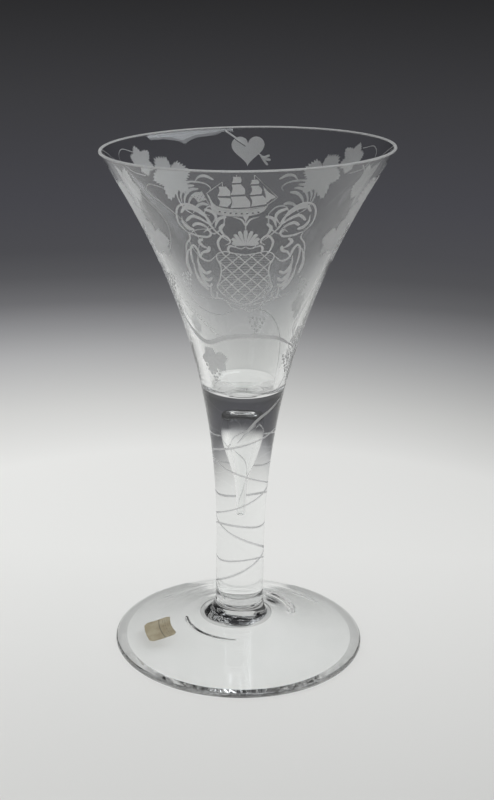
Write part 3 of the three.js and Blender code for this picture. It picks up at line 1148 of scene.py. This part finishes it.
def dents(theta, radius):
    """How deep the tools dented the foot's top at each place."""
    turn, sunk = np.degrees(theta), 0
    for start, end, turn_start, turn_end, depth, wide in DENTS:
        middle = start + (end - start) * (turn - turn_start) / (turn_end - turn_start)
        held = smooth((turn - turn_start) / 8) * smooth((turn_end - turn) / 8)
        sunk = sunk + depth * held * np.exp(-((radius / mm - middle) / wide) ** 2)
    return sunk * mm


def tool_marks(theta, radius, height):
    """Rings, a slow spiral and dents on the foot's slopes; its collar sits a hair to the left."""
    share = smooth((radius / mm - 18) / 6) * smooth((46 - radius / mm) / 6)
    rings = np.sin(radius / mm * 0.9 + 2 * theta) + 0.6 * np.sin(radius / mm * 1.7 - theta + 1)
    waves = np.sin(3 * theta + radius / mm * 0.12)
    marked = height + share * (0.004 * rings + 0.03 * waves) * mm
    on_top = smooth((height - foot_top(radius)) / foot_wall + 1)
    aside = on_top * smooth((radius - stem_radius) / (3 * mm)) * smooth((24 * mm - radius) / (8 * mm))
    return radius - collar_aside * aside * np.cos(theta), marked - on_top * dents(theta, radius)


def make_foot():
    """The foot's open faces carry the tool marks, its fused joints are left true."""
    open_faces, joints = foot_curve()
    patches = [lathe(curve, finish, ripple=tool_marks) for curve, finish in open_faces]
    return weld("foot_glass", patches + [lathe(curve, JOINT) for curve in joints])

foot = make_foot()
report_edges(foot)
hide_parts("foot")

# %% [markdown]
# ## The pontil scar
# Under the foot, in the middle, is the rough place where the holding rod was broken off. A bump in
# the finish would look as rough, but only a real shape shows in the mesh too, so a turned curve is
# broken up into ridges and pits by sums of waves. Its flat top is fused to the roof of the hollow.

# %% Scar
scar_depth = 2.6 * mm


def broken(theta, radius, height):
    """Breaks the even curve of the scar into ridges and pits, but not its flat top."""
    share = smooth((hollow_height - height) / (0.6 * scar_depth)) * smooth(radius / scar_radius * 6)
    x, y = radius / mm * np.cos(theta), radius / mm * np.sin(theta)
    ridges = np.sin(0.35 * x + 0.9 * y + np.sin(0.6 * x)) + 0.6 * np.sin(0.8 * x - 0.5 * y + 1)
    chips = np.sin(1.4 * x + 1.9 * y) * np.sin(1.1 * x - 1.3 * y + 2)
    return radius, height + share * (0.1 * ridges + 0.04 * chips) * mm


def make_scar():
    """A low lump under the hollow's roof, with a shallow dip in its middle."""
    low = hollow_height - scar_depth
    share = np.linspace(0, 1, 50)
    depth = low + scar_depth * (0.15 * (1 - smooth(share * 1.6)) + smooth((share - 0.75) / 0.25))
    rough = np.stack([scar_radius * share, depth], -1)
    top = np.linspace((scar_radius, hollow_height), (0, hollow_height), 3)
    return weld("pontil_scar_glass", [lathe(rough, ripple=broken), lathe(top, JOINT)])

scar = make_scar()
report_edges(scar)
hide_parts("pontil_scar")

# %% [markdown]
# ## The paper label
# A small label of aged cream paper with cut corners is stuck on the foot. A flat box would stand
# off the cone, so the sheet's points are laid on the cone one by one, on two sides a paper's
# thickness apart, and its edges lift a little as old paper does. It has a rule and faint lines.

# %% Label
def paper():
    """Stained paper with a dark rule along its middle and rows of broken lines on its inner half."""
    rule_radius, rule_half, row_pitch = 33.2, 0.3, 7
    material, tree = new_material("aged_paper")
    stains = object_noise(tree, 180, detail=5.0)
    fibres = object_noise(tree, 4000, detail=4.0)
    bare = stains.ramp([(0.3, (0.3, 0.25, 0.16)), (0.6, (0.42, 0.37, 0.26)), (0.8, (0.46, 0.41, 0.3))])
    place = node(tree, "ShaderNodeNewGeometry", {}, {}, "Position")
    flat = node(tree, "ShaderNodeVectorMath", {"operation": "MULTIPLY"}, {0: place, 1: (1, 1, 0)})
    out = node(tree, "ShaderNodeVectorMath", {"operation": "LENGTH"}, {0: flat}, "Value") / mm
    from_rule = out - rule_radius
    rule = 1 - (from_rule.taken("ABSOLUTE") / rule_half).at_most(1)
    rows = (out * row_pitch).taken("SINE").over(0.5) * object_noise(tree, 1100).over(0.52)
    ink = rule * 0.7 + rows * from_rule.under(-0.8) * 0.5
    printed = {"Factor": ink, "A": bare, "B": (0.05, 0.045, 0.04, 1)}
    colour = node(tree, "ShaderNodeMix", {"data_type": "RGBA"}, printed, "Result")
    bump = node(tree, "ShaderNodeBump", {}, {"Height": fibres, "Strength": 0.4, "Distance": 0.0001})
    sheet_of_paper = node(tree, "ShaderNodeBsdfPrincipled", {}, {
        "Base Color": colour, "Roughness": 0.85, "Normal": bump})
    finish_with(tree, sheet_of_paper)
    return material


def make_label():
    """The sheet of paper laid on the foot's cone."""
    wide, long, thick, cut = 11 * mm, 15.8 * mm, 0.15 * mm, 1.3 * mm
    middle_radius, middle_angle = 33.8 * mm, math.radians(-166)
    glue, lifted_edge = 0.03 * mm, 0.25 * mm
    rows, columns = 40, 32
    u, v = np.meshgrid(np.linspace(-0.5, 0.5, columns + 1), np.linspace(-0.5, 0.5, rows + 1))
    y = v * long
    narrow = np.maximum(0, np.abs(y) - (long / 2 - cut))
    x = u * (wide - 2 * narrow)
    curled = lifted_edge * smooth((np.hypot(x / wide, y / long) - 0.35) / 0.3)
    radius = middle_radius + x * math.cos(foot_slope)
    angle = middle_angle + y / radius
    layers = []
    for lift in (glue, glue + thick):
        rise = lift + curled
        ring = radius + rise * math.sin(foot_slope)
        height = foot_top(radius) + rise * math.cos(foot_slope)
        layers.append(np.stack([ring * np.cos(angle), ring * np.sin(angle), height], -1).reshape(-1, 3))
    points = np.concatenate(layers)
    n, step = (rows + 1) * (columns + 1), columns + 1
    faces = []
    for r in range(rows):
        for c in range(columns):
            a = r * step + c
            faces.append((a + n, a + 1 + n, a + 1 + step + n, a + step + n))
            faces.append((a, a + step, a + 1 + step, a + 1))
    edge = list(range(columns)) + [r * step + columns for r in range(rows)]
    edge += [rows * step + c for c in range(columns, 0, -1)] + [r * step for r in range(rows, 0, -1)]
    for a, b in zip(edge, edge[1:] + edge[:1]):
        faces.append((a, b, b + n, a + n))
    return plain_object("paper_label_sheet", points.tolist(), faces, paper())

label = make_label()
report_edges(label)
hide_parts("paper_label")

# %% [markdown]
# ## Floor, backdrop and light
# The glass stands on a pale floor that darkens with distance, as a lit sweep of paper does. Clear
# glass is seen only by what it bends and mirrors, so the dark far side of the room is as important
# as the pale floor: it draws the dark lines. The world is that dark room for what the eye, a mirror
# or the glass sees, and one even soft light for everything that is matt.

# %% Floor
def seen_directly(tree):
    """1 for what the camera, a mirror or the glass sees, 0 for the light that falls on matt things."""
    camera_ray, glossy_ray, through = (
        node(tree, "ShaderNodeLightPath", {}, {}, name)
        for name in ("Is Camera Ray", "Is Glossy Ray", "Is Transmission Ray"))
    return (camera_ray + glossy_ray + through).over(0.5)


def bluer(distance):
    """How much blue a tone of the sweep has: warm near the glass, cool far behind it."""
    return float(np.interp(distance, [1.5, 4.5, 12], [0.98, 1.15, 1.06]))


def floor_material():
    """A sweep of paper: distances and tones are in heights of the glass and in shares of white."""
    material, tree = new_material("floor_sweep")
    place = node(tree, "ShaderNodeNewGeometry", {}, {}, "Position")
    far = node(tree, "ShaderNodeVectorMath", {"operation": "LENGTH"}, {0: place}, "Value")
    far = far / glass_height
    half_way = 3
    share = far / (far + half_way)
    tones = [(0.0, 0.76), (1.1, 0.74), (1.5, 0.58), (2.05, 0.36), (2.36, 0.24), (2.72, 0.135), (3.13, 0.09),
             (3.6, 0.073), (4.8, 0.0625), (9.3, 0.047), (27, 0.026)]
    stops = [(distance / (distance + half_way), (tone, tone, tone * bluer(distance)))
             for distance, tone in tones]
    to_back = (place.part("Y") / glass_height).at_least(-0.55).at_most(0.4)
    sideways = (place.part("X") / glass_height * far.at_most(2)).at_least(-3).at_most(3)
    to_right = sideways * ((3.6 - far) / 1.2).at_most(1).at_least(0)
    # Painted light under the foot, against the shadow of the glass
    painted_light_under_foot = (0.25 - far).at_least(0).at_most(0.02) / 0.02
    # Painted light: the floor is a little brighter behind the glass and on its left, where more light falls,
    # and under the foot, against the shadow of the glass
    painted_light_on_floor = (1.03 + 0.2 * to_back - 0.11 * to_right) * (1 + 0.12 * painted_light_under_foot)
    painted = {0: share.ramp(stops), "Scale": painted_light_on_floor}
    colour = node(tree, "ShaderNodeVectorMath", {"operation": "SCALE"}, painted)
    matt = node(tree, "ShaderNodeBsdfDiffuse", {}, {"Color": colour})
    glow = node(tree, "ShaderNodeEmission", {}, {"Color": colour, "Strength": 1.0})
    share_of_glow = seen_directly(tree) * 0.55
    finish_with(tree, node(tree, "ShaderNodeMixShader", {}, {0: share_of_glow, 1: matt, 2: glow}))
    return material


def make_floor():
    """The floor lies a hair below the glass: a touching floor would dull the mirror in its resting ring."""
    reach, gap = 12, 0.08 * mm
    corners = [(x * reach, y * reach, -gap) for x, y in ((-1, -1), (1, -1), (1, 1), (-1, 1))]
    floor = plain_object("floor", corners, [(0, 1, 2, 3)], floor_material())
    print("floor", 2 * reach, "m wide,", round(gap / mm, 2), "mm below the glass")

make_floor()

# %% World
def light_the_room():
    """A dark room to look at, an even soft light to be lit by."""
    world = bpy.data.worlds.new("studio")
    world.use_nodes = True
    bpy.context.scene.world = world
    tree = world.node_tree
    tree.nodes.clear()
    scattered = node(tree, "ShaderNodeLightPath", {}, {}, "Diffuse Depth").over(0.5)
    seen = seen_directly(tree) * (1 - scattered)
    direction = node(tree, "ShaderNodeTexCoord", {}, {}, "Generated")
    up = direction.part("Z")
    room = up.ramp([(0.0, (0.012, 0.012, 0.013)), (0.6, (0.015, 0.015, 0.017)), (1.0, (0.06, 0.06, 0.064))])
    soft = (0.68, 0.68, 0.68, 1)
    either = {"Factor": seen, "A": soft, "B": room}
    colour = node(tree, "ShaderNodeMix", {"data_type": "RGBA"}, either, "Result")
    background = node(tree, "ShaderNodeBackground", {}, {"Color": colour, "Strength": 1.0})
    finish_with(tree, background, "ShaderNodeOutputWorld")
    print("even light of", soft[0])

light_the_room()

# %% Soft box
def softbox_above():
    """A soft box over the glass. Its near edge, a blunt corner, mirrors in the back of the bowl."""
    height, radiance = 1.5, 2.7
    near_edge = [(1.67, 0.4), (1.54, 0.15), (1.34, -0.15), (1.12, -0.44), (0.89, -0.58), (0.71, -0.68),
                 (0.52, -0.76), (0.2, -0.83)]
    far_edge = [(0.2, -0.2), (0.6, 0.1), (1.3, 0.7)]
    places = [(x, y, height) for x, y in near_edge + far_edge]
    cloth, tree = new_material("softbox_cloth")
    tone = (0.93 * radiance, 0.97 * radiance, radiance, 1)
    finish_with(tree, node(tree, "ShaderNodeEmission", {}, {"Color": tone, "Strength": 1.0}))
    plain_object("softbox_above", places, [list(range(len(places)))], cloth)
    print("soft box", height, "m up with", len(places), "corners")

softbox_above()

# %% [markdown]
# ## How far light is followed
# A ray that enters the glass at its rim or its collar is mirrored inside many times before it comes
# out. The usual twelve bounces leave such places black, so light is followed further.

# %% Bounces
bounces = 32
cycles = bpy.context.scene.cycles
cycles.max_bounces = cycles.transmission_bounces = cycles.glossy_bounces = bounces
print("bounces", bounces)

# %% Hand over
for piece in (bowl, stem, foot, scar):
    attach(piece, "root")
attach(label, "root")
